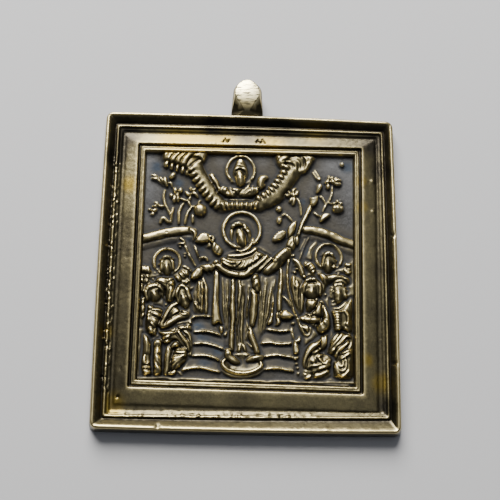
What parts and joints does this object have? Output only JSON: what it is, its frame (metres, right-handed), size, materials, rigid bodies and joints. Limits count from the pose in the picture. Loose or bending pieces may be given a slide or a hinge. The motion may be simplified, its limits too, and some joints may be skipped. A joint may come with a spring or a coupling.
{
  "type": "bronze travelling icon",
  "caption": "Small cast bronze icon plaque: a moulded frame around a sunk panel of figures in relief, with a bored hanging lug on top.",
  "frame": {"origin": "middle of the plaque's flat back face", "axes": "+X to the viewer's right, +Y up towards the hanging lug, +Z out of the carved face"},
  "size_m": [0.0541, 0.0647, 0.0042],
  "materials": {
    "bronze": "cast bronze, worn pale on the high relief, with a dark blue-grey patina in the hollows"
  },
  "bodies": {
    "root": {"bronze_icon": "bronze"}
  },
  "joints": []
}
